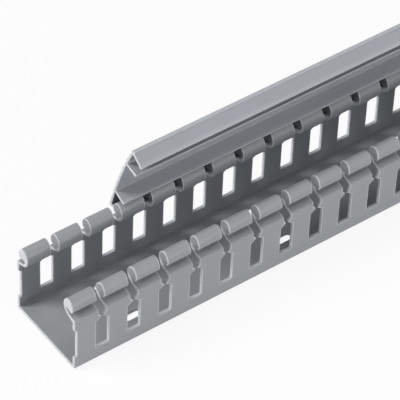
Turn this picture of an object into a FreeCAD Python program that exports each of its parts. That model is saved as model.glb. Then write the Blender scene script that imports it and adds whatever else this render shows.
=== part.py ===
import FreeCAD, Part
import math
import os
import Sketcher

os.makedirs("parts", exist_ok=True)
doc = FreeCAD.newDocument("SlottedDuct")

# Sizes in millimetres and degrees
SIZES = [
    ("length", 1000.0),
    ("width", 54.0),
    ("wall", 2.0),
    ("floor_thickness", 2.0),
    ("corner_round", 1.5),
    ("pitch", 20.0),
    ("slot_width", 8.0),
    ("slot_floor", 8.8),
    ("slot_corner", 0.8),
    ("bend_height", 36.0),
    ("bend_step", 1.2),
    ("barb_drop", 7.6),
    ("barb_rise", 2.4),
    ("barb_fall", 2.2),
    ("barb_gap", 1.2),
    ("head_gap", 5.0),
    ("neck_reach", 6.4),
    ("neck_rise", 2.2),
    ("hollow_reach", 7.9),
    ("hollow_rise", 4.4),
    ("vault_reach", 7.4),
    ("vault_rise", 5.6),
    ("throat_reach", 6.8),
    ("throat_rise", 0.5),
    ("heel_reach", 9.5),
    ("heel_rise", 2.1),
    ("head_rise", 12.4),
    ("crown_reach", 6.2),
    ("temple_reach", 8.2),
    ("temple_drop", 0.9),
    ("cheek_reach", 10.0),
    ("cheek_drop", 3.4),
    ("back_reach", 10.5),
    ("back_drop", 6.8),
    ("brow_reach", 3.9),
    ("brow_drop", 0.7),
    ("face_reach", 1.9),
    ("face_drop", 4.6),
    ("lip_reach", 2.9),
    ("lip_drop", 7.7),
    ("lip_inner_reach", 4.3),
    ("lip_inner_drop", 7.3),
    ("row_offset", 13.4),
    ("hole_width", 4.8),
    ("hole_length", 12.0),
    ("hole_spacing", 100.0),
    ("hole_first", 46.4),
    ("cover_setback", 62.0),
    ("cover_overlap", 2.4),
    ("cover_thickness", 1.8),
    ("cover_gap", 0.4),
    ("cover_round", 1.2),
    ("cover_bow", 290.0),
    ("leg_drop", 10.1),
    ("leg_lean", 2.6),
    ("leg_thickness", 1.3),
    ("grip_reach", 11.9),
    ("grip_rise", 1.05),
    ("grip_drop", 7.5),
    ("grip_lean", 0.9),
    ("grip_thickness", 1.3),
    ("hinge_reach", 4.4),
    ("hinge_drop", 5.2),
    ("open_angle", 70.4),
]
VALUE = dict(SIZES)

sheet = doc.addObject("Spreadsheet::Sheet", "Sizes")
for row, (word, amount) in enumerate(SIZES, start=1):
    sheet.set("A%d" % row, word)
    sheet.set("B%d" % row, str(amount))
    sheet.setAlias("B%d" % row, word)
doc.recompute()


# A length written as a weighted sum of named sizes
def number(mix):
    return sum(VALUE[word] * share for word, share in mix.items())


def formula(mix):
    terms = ["(%r) * Sizes.%s" % (float(share), word) for word, share in mix.items()]
    return " + ".join(terms) if terms else "0"


def plus(*mixes):
    total = {}
    for mix in mixes:
        for word, share in mix.items():
            total[word] = total.get(word, 0.0) + share
    return total


def times(mix, factor):
    return {word: share * factor for word, share in mix.items()}


def half(word, side=1.0):
    return {word: side / 2.0}


def vec(point):
    return FreeCAD.Vector(number(point[0]), number(point[1]), 0)


def origin_item(body, role):
    return [item for item in body.Origin.OriginFeatures if item.Role == role][0]


def new_sketch(body, name, role):
    sketch = body.newObject("Sketcher::SketchObject", name)
    sketch.AttachmentSupport = [(origin_item(body, role), "")]
    sketch.MapMode = "FlatFace"
    return sketch


# An arc between two points, its centre to the left or right of the way along
def arc_between(start, end, radius, side):
    chord = end - start
    half = chord.Length / 2.0
    rise = math.sqrt(max(radius * radius - half * half, 0.0))
    left = FreeCAD.Vector(-chord.y, chord.x, 0) / chord.Length
    centre = (start + end) * 0.5 + left * (rise * side)
    first = math.atan2(start.y - centre.y, start.x - centre.x)
    last = math.atan2(end.y - centre.y, end.x - centre.x)
    circle = Part.Circle(centre, FreeCAD.Vector(0, 0, 1), radius)
    if side < 0:
        first, last = last, first
    return Part.ArcOfCircle(circle, first, last)


# Closed outline whose corners and radii all follow the sheet
def outline(sketch, corners):
    count = len(corners)
    index = []
    ends = []
    for place, corner in enumerate(corners):
        start = vec(corner)
        end = vec(corners[(place + 1) % count])
        if len(corner) > 2:
            radius, side = corner[2], corner[3]
            index.append(sketch.addGeometry(arc_between(start, end, number(radius), side), False))
            ends.append((1, 2) if side > 0 else (2, 1))
        else:
            index.append(sketch.addGeometry(Part.LineSegment(start, end), False))
            ends.append((1, 2))
    for place in range(count):
        following = (place + 1) % count
        sketch.addConstraint(Sketcher.Constraint(
            "Coincident", index[place], ends[place][1], index[following], ends[following][0]))
    for place, corner in enumerate(corners):
        hold(sketch, index[place], ends[place][0], corner[0], corner[1])
        if len(corner) > 2:
            held = sketch.addConstraint(Sketcher.Constraint(
                "Radius", index[place], number(corner[2])))
            sketch.setExpression("Constraints[%d]" % held, formula(corner[2]))


def hold(sketch, edge, end, across, up):
    for kind, mix in (("DistanceX", across), ("DistanceY", up)):
        amount = number(mix)
        if amount < 0:
            rule = Sketcher.Constraint(kind, edge, end, -1, 1, -amount)
            text = formula(times(mix, -1.0))
        else:
            rule = Sketcher.Constraint(kind, -1, 1, edge, end, amount)
            text = formula(mix)
        held = sketch.addConstraint(rule)
        if mix:
            sketch.setExpression("Constraints[%d]" % held, text)


def mirrored(corners):
    count = len(corners)
    result = []
    for place in range(count - 1, -1, -1):
        corner = corners[place]
        point = (times(corner[0], -1.0), corner[1])
        before = corners[place - 1] if place else ()
        if len(before) > 2:
            point = point + (before[2], before[3])
        result.append(point)
    return result


# Places on the front wall: inwards from its outer face, and up
def inward(word, share=1.0):
    return plus(half("width", -1.0), {word: share})


def above_bend(word):
    return {"bend_height": 1.0, word: 1.0}


def below_crown(word):
    return plus(crown, {word: -1.0})


crown = {"bend_height": 1.0, "head_rise": 1.0}

# Profile of the channel, front wall first
front = [
    (plus(half("width", -1.0), {"corner_round": 1.0}), {}, {"corner_round": 1.0}, -1),
    (half("width", -1.0), {"corner_round": 1.0}),
    (half("width", -1.0), {"bend_height": 1.0}),
    (inward("neck_reach"), above_bend("neck_rise")),
    (inward("hollow_reach"), above_bend("hollow_rise")),
    (inward("vault_reach"), above_bend("vault_rise")),
    (inward("lip_inner_reach"), below_crown("lip_inner_drop")),
    (inward("lip_reach"), below_crown("lip_drop")),
    (inward("face_reach"), below_crown("face_drop")),
    (inward("brow_reach"), below_crown("brow_drop")),
    (inward("crown_reach"), crown),
    (inward("temple_reach"), below_crown("temple_drop")),
    (inward("cheek_reach"), below_crown("cheek_drop")),
    (inward("back_reach"), below_crown("back_drop")),
    (inward("heel_reach"), above_bend("heel_rise")),
    (inward("throat_reach"), above_bend("throat_rise")),
    (inward("wall"), {"bend_height": 1.0, "bend_step": -1.0}),
    (inward("wall"), {"floor_thickness": 1.0}),
]

base = doc.addObject("PartDesign::Body", "DuctBase")
base.Label = "duct_base"
profile = new_sketch(base, "ChannelProfile", "YZ_Plane")
outline(profile, front + mirrored(front))
channel = base.newObject("PartDesign::Pad", "Channel")
channel.Profile = profile
channel.Midplane = True
channel.setExpression("Length", "Sizes.length")
profile.Visibility = False

# One slot through both walls, at the near end
slot_middle = plus(half("length", -1.0), half("head_gap", -1.0))


def slot_side(shift, share):
    return plus(slot_middle, times(shift, share))


barb_start = {"bend_height": 1.0, "barb_drop": -1.0}
barb_tip = plus(barb_start, {"barb_rise": 1.0})
barb_end = plus(barb_tip, {"barb_fall": 1.0})
slot_flat = plus(half("slot_width"), {"slot_corner": -1.0})
left = [
    (half("slot_width"), barb_start),
    (half("barb_gap"), barb_tip),
    (half("head_gap"), barb_end),
    (half("head_gap"), plus(crown, {"wall": 1.0})),
]
slot_corners = [
    (slot_side(slot_flat, -1.0), {"slot_floor": 1.0}),
    (slot_side(half("slot_width"), -1.0), {"slot_floor": 1.0, "slot_corner": 1.0}),
]
slot_corners += [(slot_side(across, -1.0), up) for across, up in left]
slot_corners += [(slot_side(across, 1.0), up) for across, up in reversed(left)]
slot_corners += [
    (slot_side(half("slot_width"), 1.0), {"slot_floor": 1.0, "slot_corner": 1.0}),
    (slot_side(slot_flat, 1.0), {"slot_floor": 1.0}),
]
slot_sketch = new_sketch(base, "SlotOutline", "XZ_Plane")
outline(slot_sketch, slot_corners)
slot = base.newObject("PartDesign::Pocket", "Slot")
slot.Profile = slot_sketch
slot.Midplane = True
slot.Type = "ThroughAll"
slot_sketch.Visibility = False
doc.recompute()

slots = base.newObject("PartDesign::LinearPattern", "Slots")
slots.Originals = [slot]
slots.Direction = (origin_item(base, "X_Axis"), [""])
room = "Sizes.length + Sizes.head_gap / 2 - Sizes.slot_width / 2 - Sizes.wall"
steps = "floor((%s) / Sizes.pitch)" % room
slots.setExpression("Length", steps + " * Sizes.pitch")
slots.setExpression("Occurrences", steps + " + 1")
base.Tip = slots

# Oblong mounting holes in the floor, one of each row
hole_sketch = new_sketch(base, "HoleOutline", "XY_Plane")
hole_middle = plus(half("length", -1.0), {"hole_first": 1.0})
for side in (-1.0, 1.0):
    middle = {"row_offset": side}
    low = plus(middle, half("hole_width", -1.0))
    high = plus(middle, half("hole_width"))
    tip_near = plus(hole_middle, half("hole_length", -1.0))
    tip_far = plus(hole_middle, half("hole_length"))
    near = plus(tip_near, half("hole_width"))
    far = plus(tip_far, half("hole_width", -1.0))
    bend = half("hole_width")
    outline(hole_sketch, [
        (near, low),
        (far, low, bend, 1),
        (tip_far, middle, bend, 1),
        (far, high),
        (near, high, bend, 1),
        (tip_near, middle, bend, 1),
    ])
hole = base.newObject("PartDesign::Pocket", "Hole")
hole.Profile = hole_sketch
hole.Midplane = True
hole.Type = "ThroughAll"
hole_sketch.Visibility = False
doc.recompute()

holes = base.newObject("PartDesign::LinearPattern", "Holes")
holes.Originals = [hole]
holes.Direction = (origin_item(base, "X_Axis"), [""])
rows = "floor((Sizes.length - 2 * Sizes.hole_first) / Sizes.hole_spacing)"
holes.setExpression("Length", rows + " * Sizes.hole_spacing")
holes.setExpression("Occurrences", rows + " + 1")
base.Tip = holes

# Profile of the cover, measured from the hinge line with the cover shut
under = {"hinge_drop": 1.0, "cover_gap": 1.0}
over = plus(under, {"cover_thickness": 1.0})
leg_root = plus(half("width"), {"cover_overlap": 1.0})
leg_tip = plus(leg_root, {"leg_lean": -1.0})
leg_end = plus(over, {"leg_drop": -1.0})
grip_root = plus(half("width"), {"grip_reach": -1.0})
grip_high = plus(under, {"grip_rise": 1.0})
grip_tip = plus(grip_root, {"grip_lean": 1.0})
grip_end = plus(under, {"grip_drop": -1.0})


def across(mix, side):
    return plus(half("width", -1.0), {"hinge_reach": 1.0}, times(mix, side))


cover_corners = []
for side in (1.0, -1.0):
    edge = [
        (across(plus(grip_root, {"grip_thickness": -1.0}), side), grip_high),
        (across(plus(grip_tip, {"grip_thickness": -1.0}), side), grip_end),
        (across(grip_tip, side), grip_end),
        (across(grip_root, side), grip_high),
        (across(plus(leg_root, {"leg_thickness": -1.4}), side), under),
        (across(plus(leg_tip, {"leg_thickness": -1.0}), side),
         plus(leg_end, {"leg_thickness": 0.25})),
        (across(leg_tip, side), leg_end),
    ]
    high = (across(leg_root, side), plus(over, {"cover_round": -1.0}))
    flat = (across(plus(leg_root, {"cover_round": -1.0}), side), over)
    bend = ({"cover_round": 1.0}, 1)
    if side > 0:
        cover_corners += edge + [high + bend, flat + ({"cover_bow": 1.0}, 1)]
    else:
        inside_bow = ({"cover_bow": 1.0, "cover_thickness": -1.0}, -1)
        cover_corners += [flat + bend, high] + edge[:0:-1] + [edge[0] + inside_bow]

cover = doc.addObject("PartDesign::Body", "Cover")
cover.Label = "hinged_cover"
cover_profile = new_sketch(cover, "CoverProfile", "YZ_Plane")
outline(cover_profile, cover_corners)
sheet_pad = cover.newObject("PartDesign::Pad", "CoverStrip")
sheet_pad.Profile = cover_profile
sheet_pad.Midplane = True
sheet_pad.setExpression("Length", "Sizes.length - Sizes.cover_setback")
cover_profile.Visibility = False
cover.setExpression("Placement.Base.x", "Sizes.cover_setback / 2")
cover.setExpression("Placement.Base.y", "Sizes.width / 2 - Sizes.hinge_reach")
cover.setExpression(
    "Placement.Base.z", formula(plus(crown, {"hinge_drop": -1.0})))
cover.Placement.Rotation = FreeCAD.Rotation(FreeCAD.Vector(1, 0, 0), -VALUE["open_angle"])
cover.setExpression("Placement.Rotation.Angle", "-Sizes.open_angle")

doc.recompute()

for item in doc.Objects:
    for word in ("Invalid", "Error"):
        if word in item.State:
            raise RuntimeError("%s: %s" % (item.Label, item.State))

for piece in (base, cover):
    shape = piece.Shape
    if shape.isNull() or not shape.isValid():
        raise RuntimeError(piece.Label + " has no valid shape")
    if len(shape.Solids) != 1:
        raise RuntimeError(piece.Label + " is not one solid")
    shape.exportStep("parts/%s.step" % piece.Label)
    print(piece.Label, round(shape.Volume, 1), shape.BoundBox)
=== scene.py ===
import bisect
import math

import bpy
from mathutils import Matrix, Vector
from mathutils.geometry import delaunay_2d_cdt


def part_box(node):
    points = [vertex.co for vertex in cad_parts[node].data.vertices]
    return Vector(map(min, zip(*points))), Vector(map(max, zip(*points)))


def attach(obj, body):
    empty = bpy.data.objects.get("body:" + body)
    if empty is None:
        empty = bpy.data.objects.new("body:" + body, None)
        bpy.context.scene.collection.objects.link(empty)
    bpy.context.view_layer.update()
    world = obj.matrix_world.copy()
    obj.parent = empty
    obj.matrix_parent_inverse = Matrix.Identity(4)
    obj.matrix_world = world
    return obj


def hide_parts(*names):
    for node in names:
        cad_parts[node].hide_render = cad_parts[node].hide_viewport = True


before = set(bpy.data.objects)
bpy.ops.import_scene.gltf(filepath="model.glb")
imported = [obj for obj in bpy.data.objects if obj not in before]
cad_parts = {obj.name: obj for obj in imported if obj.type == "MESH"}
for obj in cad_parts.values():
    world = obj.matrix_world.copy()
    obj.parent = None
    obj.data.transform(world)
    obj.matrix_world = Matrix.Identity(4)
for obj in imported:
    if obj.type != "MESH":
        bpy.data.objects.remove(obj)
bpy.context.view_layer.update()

MM = 0.001

# Duct, in millimetres; its length, width and height come from the frame
base_low, base_high = [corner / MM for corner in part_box("duct_base")]
cover_low, cover_high = [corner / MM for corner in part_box("hinged_cover")]
LEFT_END = base_low.x
RIGHT_END = base_high.x
WIDTH = base_high.y - base_low.y
CROWN = base_high.z
WALL = 2.0
PITCH = 20.0
SLOT_WIDTH = 8.0
SLOT_FLOOR = 8.8
SLOT_CORNER = 0.8
BARB_START = 28.4
BARB_TIP = 30.8
BARB_END = 33.0
BARB_GAP = 1.2
HEAD_GAP = 5.0
BEND_HEIGHT = 36.0
BEND_STEP = 1.2
BEND_ROUND = 1.3
BEND_ROUND_INSIDE = 0.7
BOTTOM_ROUND = 1.5
BOTTOM_ROUND_INSIDE = 0.4
HOLE_WIDTH = 4.8
HOLE_LENGTH = 12.0
HOLE_SPACING = 100.0
HOLE_FIRST = 46.4
ROW_OFFSET = 13.4

# Where the section has stations beside a row of mounting holes and below the slots
HOLE_MARGIN = 4.5
UNDER_SLOTS = SLOT_FLOOR - 2.0

# Head from throat to lip: pairs of points, on the roll and across it, each inwards and up
THROAT = (6.6, 36.5)
NECK = (6.1, 38.1)
HEAD = [(THROAT, NECK), ((8.85, 38.2), (7.2, 39.4)), ((10.2, 41.7), (7.9, 40.7)),
        ((9.9, 45.0), (7.4, 41.3)), ((8.1, 47.5), (6.7, 41.2)), ((6.0, CROWN), (6.0, 41.1)),
        ((3.7, 47.5), (5.4, 40.95)), ((2.0, 44.2), (4.8, 40.8)), ((2.2, 41.8), (4.4, 40.65)),
        ((3.0, 40.5), (3.9, 40.5))]
# Share of the way from the wall's bend to the head where the head's curve starts
HEAD_START = 0.6

# Broken edges, and the pale bands that the punch leaves beside an edge and inside it
CHAMFER = 0.22
STRESS_BAND = 0.62
PALE_RIM = 0.7
# Thickness up to which a cut is paled right through
THIN_CUT = 1.3 * WALL

# How much a place is paled, from nothing at 0 to a whole white mark at 1
CLEAN_TONE = 0.0
CORE_TONE = 0.1
# Painted highlight along the cover's top lip band, standing in for light caught by its rounded
# edge
LIP_HIGHLIGHT_TONE = 0.27
SILL_TONE = 0.3
# Painted highlight at the cover's leg and grip tips, standing in for light caught by their
# rounded ends
TIP_HIGHLIGHT_TONE = 0.33
PUNCHED_TONE = 1.0
SAWN_TONE = 1.0

# Cover, as it is shut: out from the duct's middle, and up from the hinge line
HINGE_REACH = 4.4
HINGE_HEIGHT = CROWN - 5.2
OPEN_ANGLE = math.radians(70.4)
COVER_UNDER = 5.6
COVER_TOP = COVER_UNDER + 1.7
COVER_EDGE = WIDTH / 2 + 2.25
COVER_ROUND = 0.95
COVER_BOW = 290.0
LEG_DROP = 10.4
LEG_LEAN = 3.2
LEG_THICKNESS = 1.3
LEG_STEP = 0.4
LEG_STEP_DROP = 2.2
LEG_CURL_RISE = 3.4
LEG_CURL_SAG = 0.25
LEG_ROOT_THICKNESS = 1.4 * LEG_THICKNESS
LEG_TIP_SLANT = 0.25 * LEG_THICKNESS
GRIP_ROOT = WIDTH / 2 - 11.6
GRIP_RISE = 1.05
GRIP_DROP = 7.3
GRIP_LEAN = 1.1
GRIP_THICKNESS = 1.3
GRIP_FLARE = 0.45
GRIP_FLARE_RISE = 2.6
TIP_ROUND = 0.3
ROOT_ROUND = 0.5

# Steps in which curves are drawn
HEAD_STEPS = 3
WALL_ROUND_STEPS = 5
SLOT_ROUND_STEPS = 3
HOLE_END_STEPS = 12
COVER_ROUND_STEPS = 4
BOW_STEPS = 12
BOW_STEPS_INSIDE = 6

# Distances below which two places count as one
SAME_PLACE = 1e-3
SAME_POINT = 1e-5


def link_to_scene(name, data):
    item = bpy.data.objects.new(name, data)
    bpy.context.scene.collection.objects.link(item)
    return item


# Points of a round at a corner of an outline
def rounded_corner(before, corner, after, radius, steps):
    corner = Vector(corner)
    back = (Vector(before) - corner).normalized()
    ahead = (Vector(after) - corner).normalized()
    half = back.angle(ahead) / 2.0
    centre = corner + (back + ahead).normalized() * (radius / math.sin(half))
    first = corner + back * (radius / math.tan(half)) - centre
    last = corner + ahead * (radius / math.tan(half)) - centre
    turns = [first.slerp(last, step / steps) for step in range(steps + 1)]
    return [tuple(centre + turn.normalized() * radius) for turn in turns]


# Smooth curve through points, with some steps between neighbours
def smooth_curve(points, steps):
    spots = [Vector(point) for point in points]
    spots = [spots[0] * 2 - spots[1], *spots, spots[-1] * 2 - spots[-2]]
    result = []
    for place in range(1, len(spots) - 2):
        run = spots[place - 1:place + 3]
        times = [0.0]
        for before, after in zip(run, run[1:]):
            times.append(times[-1] + math.sqrt((after - before).length))
        for step in range(steps):
            time = times[1] + (times[2] - times[1]) * step / steps
            level = run
            for reach in (1, 2, 3):
                level = blend_level(level, times, time, reach)
            result.append(tuple(level[0]))
    result.append(tuple(spots[-2]))
    return result


# Points between neighbours at a time, one level of the curve's making
def blend_level(points, times, time, reach):
    result = []
    for place in range(len(points) - 1):
        low, high = (times[1], times[2]) if reach == 3 else (times[place], times[place + reach])
        share = (time - low) / (high - low)
        result.append(points[place].lerp(points[place + 1], share))
    return result


# Moves an outline to its left by a distance, mitred at its corners
def inset(points, distance):
    spots = [Vector(point) for point in points]
    ways = [(after - spot).normalized() for spot, after in zip(spots, spots[1:] + spots[:1])]
    lefts = [Vector((-way.y, way.x)) for way in ways]
    result = []
    for place, spot in enumerate(spots):
        before, after = lefts[place - 1], lefts[place]
        shift = (before + after) * (distance / (1.0 + before.dot(after)))
        result.append(tuple(spot + shift))
    return result


# Stations of half the duct's section, floor to lip: a point outside and one inside
def half_section():
    half = WIDTH / 2.0
    stations = [((half - across, 0.0), (half - across, WALL))
                for across in (0.0, ROW_OFFSET - HOLE_MARGIN, ROW_OFFSET + HOLE_MARGIN)]
    up = (0.0, BARB_START)
    inner_up = (WALL, BARB_START)
    stations += zip(
        rounded_corner((half, 0.0), (0.0, 0.0), up, BOTTOM_ROUND, WALL_ROUND_STEPS),
        rounded_corner(
            (half, WALL), (WALL, WALL), inner_up, BOTTOM_ROUND_INSIDE, WALL_ROUND_STEPS))
    stations += [((0.0, height), (WALL, height)) for height in (UNDER_SLOTS, BARB_END)]
    bend = (0.0, BEND_HEIGHT)
    bend_inside = (WALL, BEND_HEIGHT - BEND_STEP)
    stations += zip(
        rounded_corner(up, bend, NECK, BEND_ROUND, WALL_ROUND_STEPS),
        rounded_corner(inner_up, bend_inside, THROAT, BEND_ROUND_INSIDE, WALL_ROUND_STEPS))
    start = (
        Vector(bend_inside).lerp(THROAT, HEAD_START), Vector(bend).lerp(NECK, HEAD_START))
    back, slit = zip(start, *HEAD)
    stations += zip(smooth_curve(slit, HEAD_STEPS), smooth_curve(back, HEAD_STEPS))
    return stations


# Distance of each station up the sheet from the middle of the floor
def section_run(stations):
    middles = [(Vector(outer) + Vector(inner)) / 2 for outer, inner in stations]
    run = [0.0]
    for before, after in zip(middles, middles[1:]):
        run.append(run[-1] + (after - before).length)
    return run


STATIONS = half_section()
RUN = section_run(STATIONS)
WALL_STATION = [outer for outer, inner in STATIONS].index((0.0, UNDER_SLOTS))
FINGER_RUN = RUN[WALL_STATION + 1:]
FLOOR_RUN = RUN[:WALL_STATION + 1]
# On the upright wall a height and a distance up the sheet differ by this
RISE = RUN[WALL_STATION] - UNDER_SLOTS
SILL = SLOT_FLOOR + RISE


# Points on both sides of the sheet at a distance up it
def across_sheet(up):
    up = min(abs(up), RUN[-1])
    place = min(max(bisect.bisect_left(RUN, up), 1), len(RUN) - 1)
    share = (up - RUN[place - 1]) / (RUN[place] - RUN[place - 1])
    outer = Vector(STATIONS[place - 1][0]).lerp(Vector(STATIONS[place][0]), share)
    inner = Vector(STATIONS[place - 1][1]).lerp(Vector(STATIONS[place][1]), share)
    return outer, inner


# Place in space of a spot on the sheet, some way in from its outer or its inner side
def on_sheet(along, up, way=0.0, from_inner=False):
    side = -1.0 if up > 0.0 else 1.0
    outer, inner = across_sheet(up)
    if from_inner:
        outer, inner = inner, outer
    reach, height = outer + (inner - outer).normalized() * way
    return Vector((along, side * (WIDTH / 2 - reach), height)) * MM


# Outline of the unfolded sheet in (along, up), anticlockwise
def sheet_outline():
    half_slot = SLOT_WIDTH / 2.0
    first_slot = LEFT_END - HEAD_GAP / 2.0
    count = int((RIGHT_END - first_slot - half_slot - WALL) // PITCH) + 1
    start = BARB_START + RISE
    tip = BARB_TIP + RISE
    edge = rounded_corner(
        (0.0, SILL), (half_slot, SILL), (half_slot, start), SLOT_CORNER, SLOT_ROUND_STEPS)
    edge += [(half_slot, start), (BARB_GAP / 2, tip)]
    edge += [(HEAD_GAP / 2, up) for up in FINGER_RUN]
    front = [(RIGHT_END, up) for up in RUN]
    for slot in range(count - 1, 0, -1):
        middle = first_slot + slot * PITCH
        front += [(middle + across, up) for across, up in reversed(edge)]
        front.append((middle, SILL))
        front += [(middle - across, up) for across, up in edge]
    share = (half_slot - HEAD_GAP / 2) / (half_slot - BARB_GAP / 2)
    for across, up in reversed(edge):
        if up == tip:
            across, up = HEAD_GAP / 2, start + (tip - start) * share
        front.append((first_slot + across, up))
    front.append((LEFT_END, SILL))
    front += [(LEFT_END, up) for up in reversed(FLOOR_RUN)]
    back = [(along, -up) for along, up in reversed(front) if up > 0.0]
    return front + back, [first_slot + slot * PITCH for slot in range(1, count)]


# A mounting hole's outline, clockwise so that its left is the material
def oblong(middle_along, middle_up):
    radius = HOLE_WIDTH / 2.0
    reach = HOLE_LENGTH / 2.0 - radius
    points = []
    for side in (1, -1):
        for step in range(HOLE_END_STEPS + 1):
            turn = math.pi / 2 - math.pi * step / HOLE_END_STEPS
            points.append((
                middle_along + side * (reach + math.cos(turn) * radius),
                middle_up + side * math.sin(turn) * radius))
    return points


# Whether a loop goes round a point
def inside(point, loop):
    crossed = False
    for (x0, y0), (x1, y1) in zip(loop, loop[1:] + loop[:1]):
        if (y0 > point.y) != (y1 > point.y):
            if point.x < (x1 - x0) * (point.y - y0) / (y1 - y0) + x0:
                crossed = not crossed
    return crossed


# Triangles between a first loop and the holes after it, keeping the edges in lines
def fill(loops, lines):
    spots = [Vector(point) for loop in loops for point in loop]
    edges = []
    start = 0
    for loop in loops:
        edges += [(start + i, start + (i + 1) % len(loop)) for i in range(len(loop))]
        start += len(loop)
    edges += lines
    made, _, triangles, sources, _, _ = delaunay_2d_cdt(spots, edges, [], 1, SAME_POINT)
    place = {source: index for index, found in enumerate(sources) for source in found}
    holes = loops[1:]
    kept = []
    for triangle in triangles:
        centre = sum((made[index] for index in triangle), Vector((0.0, 0.0))) / 3.0
        close = [hole for hole in holes if abs(hole[0][0] - centre.x) < 2 * HOLE_LENGTH]
        if not any(inside(centre, hole) for hole in close):
            kept.append(tuple(triangle))
    return made, kept, place


# Edges along the sheet at its stations, across the fingers and down from the slots
def keep_lines(loop, slots):
    lines = []
    levels = {}
    for index, (along, up) in enumerate(loop):
        levels.setdefault(round(up, 4), []).append((along, index))
    below = SILL - STRESS_BAND
    for up, found in levels.items():
        found.sort()
        if abs(up) < below - SAME_PLACE:
            lines.append((found[0][1], found[-1][1]))
        elif abs(up) > FINGER_RUN[0] + SAME_PLACE:
            lines += [(found[i][1], found[i + 1][1]) for i in range(0, len(found), 2)]
    ends = {}
    for index, (along, up) in enumerate(loop):
        if abs(abs(up) - below) < SAME_PLACE:
            ends.setdefault(round(along, 3), []).append(index)
    lines += [tuple(ends[round(slot, 3)]) for slot in slots if len(ends[round(slot, 3)]) == 2]
    return lines


# Smooth-shaded piece of the scene, with its points' paleness for the materials: stress whitening,
# and on the cover also painted highlight
def new_piece(name, points, faces, cut, whitening_and_highlight, materials):
    mesh = bpy.data.meshes.new(name)
    mesh.from_pydata(points, [], faces)
    for material in materials:
        mesh.materials.append(material)
    mesh.polygons.foreach_set("material_index", cut)
    mesh.polygons.foreach_set("use_smooth", [True] * len(faces))
    mesh.attributes.new("whitening_and_highlight", "FLOAT", "POINT").data.foreach_set("value", whitening_and_highlight)
    mesh.validate()
    piece = link_to_scene(name, mesh)
    piece.modifiers.new("even_normals", "WEIGHTED_NORMAL").keep_sharp = True
    return piece


# Paleness of a cut face: whole on a sawn end, least in the core of a punched one
def rim_tone(along, up, way):
    outer, inner = across_sheet(up)
    thin = (inner - outer).length < THIN_CUT
    if min(along - LEFT_END, RIGHT_END - along) < CHAMFER / 2:
        return SAWN_TONE
    if way >= PALE_RIM and not thin:
        return CORE_TONE
    return SILL_TONE if abs(up) < SILL + SLOT_CORNER / 2 else PUNCHED_TONE


# Levels of a rim, from outside to inside, that lie between its two broken edges
RIM_CUT_LEVELS = (2, 3, 4)


# Channel as one folded sheet: both sides filled, and a cut rim round each loop
def make_channel(name, materials):
    outline, slots = sheet_outline()
    loops = [outline]
    first = LEFT_END + HOLE_FIRST
    rows = int((RIGHT_END - LEFT_END - 2 * HOLE_FIRST) // HOLE_SPACING) + 1
    for row in range(rows):
        for side in (-1, 1):
            loops.append(oblong(first + row * HOLE_SPACING, side * ROW_OFFSET))
    bands = [inset(loop, STRESS_BAND) for loop in loops]
    made, triangles, place = fill(bands, keep_lines(bands[0], slots))
    points = [on_sheet(spot.x, spot.y) for spot in made]
    points += [on_sheet(spot.x, spot.y, from_inner=True) for spot in made]
    whitening_and_highlight = [CLEAN_TONE] * len(points)
    count = len(made)
    faces = list(triangles)
    faces += [tuple(index + count for index in reversed(triangle)) for triangle in triangles]
    cut = [0] * len(faces)
    start = 0
    for loop in loops:
        size = len(loop)
        broken = inset(loop, CHAMFER)
        rings = [[place[start + i] for i in range(size)]]
        for ring, way, inner_side in (
                (broken, 0.0, False), (loop, CHAMFER, False), (loop, PALE_RIM, False),
                (loop, PALE_RIM, True), (loop, CHAMFER, True), (broken, 0.0, True)):
            rings.append(list(range(len(points), len(points) + size)))
            points += [on_sheet(along, up, way, inner_side) for along, up in ring]
            whitening_and_highlight += [rim_tone(along, up, way) for along, up in ring]
        rings.append([place[start + i] + count for i in range(size)])
        for level, (outer, inner) in enumerate(zip(rings, rings[1:])):
            for i in range(size):
                after = (i + 1) % size
                faces.append((outer[i], inner[i], inner[after], outer[after]))
                cut.append(1 if level in RIM_CUT_LEVELS else 0)
        start += size
    return new_piece(name, points, faces, cut, whitening_and_highlight, materials)


# Outline with each corner rounded by its own radius
def soften(corners):
    result = []
    for place, (point, radius) in enumerate(corners):
        before = corners[place - 1][0]
        after = corners[(place + 1) % len(corners)][0]
        if radius:
            result += rounded_corner(before, point, after, radius, COVER_ROUND_STEPS)
        else:
            result.append(point)
    return result


# Bowed run across the cover between its two edges, without the edges themselves
def bowed(edge, height, steps):
    marks = [edge * (2.0 * step / steps - 1.0) for step in range(1, steps)]
    return [((mark, height + (edge ** 2 - mark ** 2) / (2.0 * COVER_BOW)), 0.0) for mark in marks]


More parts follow.
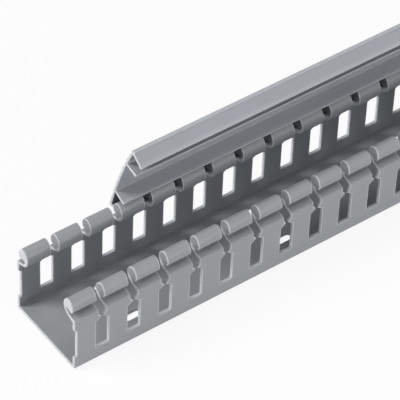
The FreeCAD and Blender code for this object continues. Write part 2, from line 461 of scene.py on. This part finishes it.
# Cover's section, shut, anticlockwise seen from its right end
def cover_section():
    leg_end = COVER_TOP - LEG_DROP
    tip = COVER_EDGE - LEG_LEAN
    grip_high = COVER_UNDER + GRIP_RISE
    grip_end = COVER_UNDER - GRIP_DROP
    leg_head = (COVER_EDGE - LEG_STEP, COVER_TOP - LEG_STEP_DROP - LEG_STEP / 2)
    curl = Vector((tip, leg_end)).lerp(leg_head, LEG_CURL_RISE / LEG_DROP)
    half = [
        ((GRIP_ROOT - GRIP_THICKNESS, grip_high), ROOT_ROUND),
        ((GRIP_ROOT + GRIP_LEAN / 2 - GRIP_THICKNESS, grip_end + GRIP_FLARE_RISE), BEND_ROUND),
        ((GRIP_ROOT + GRIP_LEAN - GRIP_THICKNESS - GRIP_FLARE, grip_end), TIP_ROUND),
        ((GRIP_ROOT + GRIP_LEAN, grip_end), TIP_ROUND),
        ((GRIP_ROOT, grip_high), ROOT_ROUND),
        ((COVER_EDGE - LEG_ROOT_THICKNESS, COVER_UNDER), ROOT_ROUND),
        ((curl.x + LEG_CURL_SAG - LEG_THICKNESS, curl.y), BEND_ROUND),
        ((tip - LEG_THICKNESS, leg_end + LEG_TIP_SLANT), TIP_ROUND),
        ((tip, leg_end), TIP_ROUND),
        ((curl.x + LEG_CURL_SAG, curl.y), BEND_ROUND),
        (leg_head, LEG_STEP / 2),
        ((COVER_EDGE, COVER_TOP - LEG_STEP_DROP), TIP_ROUND),
        ((COVER_EDGE, COVER_TOP), COVER_ROUND),
    ]
    other = [((-across, up), radius) for (across, up), radius in reversed(half)]
    top = bowed(COVER_EDGE - COVER_ROUND, COVER_TOP, BOW_STEPS)[::-1]
    below = bowed(GRIP_ROOT - GRIP_THICKNESS, grip_high, BOW_STEPS_INSIDE)
    return soften(half + top + other + below)


# Painted highlight: paler along the cover's top lip band and at its leg and grip tips, where
# their rounded edges catch the light
def painted_edge_highlight(across, up):
    if up < COVER_UNDER - GRIP_DROP + TIP_ROUND:
        return TIP_HIGHLIGHT_TONE
    lip = abs(across) > COVER_EDGE - LEG_STEP / 2 and up > COVER_TOP - LEG_STEP_DROP
    return LIP_HIGHLIGHT_TONE if lip else CLEAN_TONE


# Cover as its section drawn out along the duct and turned open, with filled ends
def make_cover(name, materials):
    section = cover_section()
    thin = inset(section, CHAMFER)
    size = len(section)
    hinge_y = WIDTH / 2 - HINGE_REACH
    turn = Matrix.Rotation(-OPEN_ANGLE, 4, "X")
    left, right = cover_low.x, cover_high.x
    rings = [
        (left, thin, SAWN_TONE),
        (left + CHAMFER, section, SAWN_TONE),
        (left + STRESS_BAND, section, CLEAN_TONE),
        (right - STRESS_BAND, section, CLEAN_TONE),
        (right - CHAMFER, section, SAWN_TONE),
        (right, thin, SAWN_TONE)]
    points = []
    whitening_and_highlight = []
    for along, loop, tone in rings:
        for (across, up), (edge_across, edge_up) in zip(loop, section):
            shut = Vector((along, across - hinge_y, up))
            points.append((turn @ shut + Vector((0.0, hinge_y, HINGE_HEIGHT))) * MM)
            # Sawn-end whitening, or the painted highlight along the cover's lip and tips,
            # whichever is paler
            whitening_and_highlight.append(max(tone, painted_edge_highlight(edge_across, edge_up)))
    faces = []
    cut = []
    for level in range(len(rings) - 1):
        for i in range(size):
            after = (i + 1) % size
            low = level * size
            faces.append((low + i, low + after, low + size + after, low + size + i))
            cut.append(0)
    _, triangles, place = fill([thin], [])
    index = {spot: source for source, spot in place.items()}
    last = (len(rings) - 1) * size
    for triangle in triangles:
        corners = [index[spot] for spot in triangle]
        faces.append(tuple(reversed(corners)))
        faces.append(tuple(corner + last for corner in corners))
        cut += [1, 1]
    return new_piece(name, points, faces, cut, whitening_and_highlight, materials)


# Materials: base colours, and the pale grey of stress-whitened plastic, which also gives the
# cover's painted highlights
GREY = (0.256, 0.264, 0.280)
BLUISH = (0.298, 0.310, 0.336)
CUT_GREY = (0.30, 0.31, 0.325)
PALE = (0.68, 0.69, 0.71)

# Waves a metre of streaks along the duct and of saw marks
STREAK_SCALES = (4.0, 900.0, 900.0)
SAW_SCALES = (900.0, 250.0, 1400.0)

# Noises as scale, detail and roughness
STREAKS = (1.0, 3.0, 0.6)
CLOUD = (22.0, 4.0, 0.55)
GRAIN = (2600.0, 2.0, 0.6)
PATCHES = (600.0, 2.0, 0.5)

# How far the noises move the paleness, and the gloss down and up
PALE_SPREAD = 0.3
GLOSSIER = 0.07
DULLER = 0.09

# What differs between a drawn skin and a cut face
SKIN = {"scales": STREAK_SCALES, "spread": 0.05, "least": 0.5, "bump": 0.22, "depth": 0.00006}
CUT = {"scales": SAW_SCALES, "spread": 0.14, "least": 0.7, "bump": 0.5, "depth": 0.00012}


# Node with its inputs or its own settings filled in
def add(tree, kind, **values):
    node = tree.nodes.new(kind)
    for word, value in values.items():
        if word in node.inputs:
            node.inputs[word].default_value = value
        else:
            setattr(node, word, value)
    return node


# Noise texture's output in a space
def noise(tree, vector, scale, detail, roughness):
    node = add(tree, "ShaderNodeTexNoise", Scale=scale, Detail=detail, Roughness=roughness)
    tree.links.new(vector, node.inputs["Vector"])
    return node.outputs["Fac"]


# Output that goes from low to high while a value goes from start to end
def ranged(tree, value, low, high, start=0.3, end=0.7):
    node = add(tree, "ShaderNodeMapRange")
    for word, amount in (
            ("From Min", start), ("From Max", end), ("To Min", low), ("To Max", high)):
        node.inputs[word].default_value = amount
    tree.links.new(value, node.inputs["Value"])
    return node.outputs["Result"]


# Math node on values or plain numbers
def combine(tree, operation, *values):
    node = add(tree, "ShaderNodeMath", operation=operation)
    for socket, value in zip(node.inputs, values):
        if isinstance(value, float):
            socket.default_value = value
        else:
            tree.links.new(value, socket)
    return node.outputs["Value"]


# Grey plastic with the face's streaks or saw marks, paled by the point attribute: stress
# whitening beside cuts, and on the cover a painted highlight along its lip and tips
def plastic(name, colour, roughness, face):
    material = bpy.data.materials.new(name)
    material.use_nodes = True
    tree = material.node_tree
    shader = tree.nodes["Principled BSDF"]
    link = tree.links.new

    # Streaks, a cloudy tone across them, and a fine grain
    place = add(tree, "ShaderNodeTexCoord").outputs["Object"]
    stretch = add(tree, "ShaderNodeMapping", Scale=face["scales"])
    link(place, stretch.inputs["Vector"])
    streaks = noise(tree, stretch.outputs["Vector"], *STREAKS)
    cloud = noise(tree, place, *CLOUD)
    grain = noise(tree, place, *GRAIN)
    both = combine(tree, "ADD", streaks, cloud)
    tone = ranged(tree, both, 1.0 - face["spread"], 1.0 + face["spread"], 0.6, 1.4)
    body = add(tree, "ShaderNodeMix", data_type="RGBA", blend_type="MULTIPLY", Factor=1.0)
    body.inputs["A"].default_value = (*colour, 1.0)
    link(tone, body.inputs["B"])

    # Paled beside each cut edge by stress whitening, unevenly; on the cover also a painted
    # highlight along its lip and tips
    whitening_and_highlight = add(tree, "ShaderNodeAttribute", attribute_name="whitening_and_highlight").outputs["Fac"]
    patches = noise(tree, place, *PATCHES)
    uneven = ranged(tree, patches, face["least"], face["least"] + PALE_SPREAD)
    paled = add(tree, "ShaderNodeMix", data_type="RGBA", B=(*PALE, 1.0))
    link(combine(tree, "MULTIPLY", whitening_and_highlight, uneven), paled.inputs["Factor"])
    link(body.outputs["Result"], paled.inputs["A"])
    link(paled.outputs["Result"], shader.inputs["Base Color"])

    # Cloudy gloss, and relief from the streaks and the grain
    gloss = ranged(tree, cloud, roughness - GLOSSIER, roughness + DULLER)
    link(gloss, shader.inputs["Roughness"])
    bump = add(tree, "ShaderNodeBump", Strength=face["bump"], Distance=face["depth"])
    link(combine(tree, "ADD", streaks, grain), bump.inputs["Height"])
    link(bump.outputs["Normal"], shader.inputs["Normal"])
    return material


drawn = plastic("drawn_plastic", GREY, 0.40, SKIN)
smooth = plastic("smooth_plastic", BLUISH, 0.36, SKIN)
sawn = plastic("cut_plastic", CUT_GREY, 0.62, CUT)

channel = make_channel("channel", [drawn, sawn])
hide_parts("duct_base")
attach(channel, "channel")

cover = make_cover("cover", [smooth, sawn])
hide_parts("hinged_cover")
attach(cover, "lid")


# Camera at the photograph's angle, in metres, degrees and millimetres of lens
VIEW_POINT = Vector((-0.3723, 0.0376, 0.0))
VIEW_DISTANCE = 1.6085
VIEW_AZIMUTH = math.radians(37.71)
VIEW_ELEVATION = math.radians(45.09)
VIEW_ROLL = math.radians(2.56)
VIEW_LENS = 261.4
NEAREST_SEEN = 0.05
FURTHEST_SEEN = 50.0

# Lamps as name, place, width in metres and power in watts, all aimed at one point
LAMP_AIM = Vector((-0.3, 0.0, 0.0))
LAMPS = (
    ("key", (-2.2, 1.0, 1.9), 1.2, 64.0),
    ("front", (0.0, -2.8, 0.5), 1.6, 46.0),
    ("top", (-0.4, -0.3, 2.9), 1.4, 22.0),
    ("right", (2.4, -1.2, 1.4), 1.4, 10.0))
WORLD_LIGHT = 0.14

# Floor, in metres, with its shade of grey and its share of plain white where it is seen
FLOOR_REACH = 12.0
FLOOR_DROP = 0.0003
FLOOR_TONE = 0.80
FLOOR_ROUGHNESS = 0.9
FLOOR_WHITE = 0.88


def turn_to(item, turn):
    item.rotation_mode = "QUATERNION"
    item.rotation_quaternion = turn


def make_camera():
    ahead = Vector((
        math.sin(VIEW_AZIMUTH) * math.cos(VIEW_ELEVATION),
        math.cos(VIEW_AZIMUTH) * math.cos(VIEW_ELEVATION),
        -math.sin(VIEW_ELEVATION)))
    camera = link_to_scene("camera", bpy.data.cameras.new("camera"))
    camera.data.lens = VIEW_LENS
    camera.data.clip_start = NEAREST_SEEN
    camera.data.clip_end = FURTHEST_SEEN
    camera.location = VIEW_POINT - ahead * VIEW_DISTANCE
    roll = Matrix.Rotation(VIEW_ROLL, 3, "Z").to_quaternion()
    turn_to(camera, ahead.to_track_quat("-Z", "Y") @ roll)
    bpy.context.scene.camera = camera


def make_lamp(name, place, size, power):
    lamp = link_to_scene(name, bpy.data.lights.new(name, "AREA"))
    lamp.data.shape = "DISK"
    lamp.data.size = size
    lamp.data.energy = power
    lamp.location = place
    turn_to(lamp, (LAMP_AIM - Vector(place)).to_track_quat("-Z", "Y"))


# One where the camera, a reflection or a refraction sees the surface, else zero
def shown(tree):
    path = add(tree, "ShaderNodeLightPath")
    direct = combine(
        tree, "MAXIMUM", path.outputs["Is Camera Ray"], path.outputs["Is Glossy Ray"])
    return combine(tree, "MAXIMUM", direct, path.outputs["Is Transmission Ray"])


# Pale floor that is mostly plain white where it is seen, and keeps the shadow
def make_floor():
    mesh = bpy.data.meshes.new("floor")
    sides = ((-1, -1), (1, -1), (1, 1), (-1, 1))
    corners = [(x * FLOOR_REACH, y * FLOOR_REACH, -FLOOR_DROP) for x, y in sides]
    mesh.from_pydata(corners, [], [(0, 1, 2, 3)])
    material = bpy.data.materials.new("floor_white")
    material.use_nodes = True
    tree = material.node_tree
    link = tree.links.new
    shader = tree.nodes["Principled BSDF"]
    shader.inputs["Base Color"].default_value = (FLOOR_TONE, FLOOR_TONE, FLOOR_TONE, 1.0)
    shader.inputs["Roughness"].default_value = FLOOR_ROUGHNESS
    glow = add(tree, "ShaderNodeEmission", Color=(1.0, 1.0, 1.0, 1.0), Strength=1.0)
    mix = add(tree, "ShaderNodeMixShader")
    link(combine(tree, "MULTIPLY", shown(tree), FLOOR_WHITE), mix.inputs["Fac"])
    link(shader.outputs["BSDF"], mix.inputs[1])
    link(glow.outputs["Emission"], mix.inputs[2])
    link(mix.outputs["Shader"], tree.nodes["Material Output"].inputs["Surface"])
    mesh.materials.append(material)
    link_to_scene("floor", mesh)


# World that is white where it is seen, and dimmer as light
def make_world():
    world = bpy.data.worlds.new("world")
    bpy.context.scene.world = world
    world.use_nodes = True
    tree = world.node_tree
    backdrop = tree.nodes["Background"]
    backdrop.inputs["Color"].default_value = (1.0, 1.0, 1.0, 1.0)
    strength = ranged(tree, shown(tree), WORLD_LIGHT, 1.0, 0.0, 1.0)
    tree.links.new(strength, backdrop.inputs["Strength"])


make_camera()
make_floor()
for lamp in LAMPS:
    make_lamp(*lamp)
make_world()
bpy.context.scene.view_settings.view_transform = "Standard"
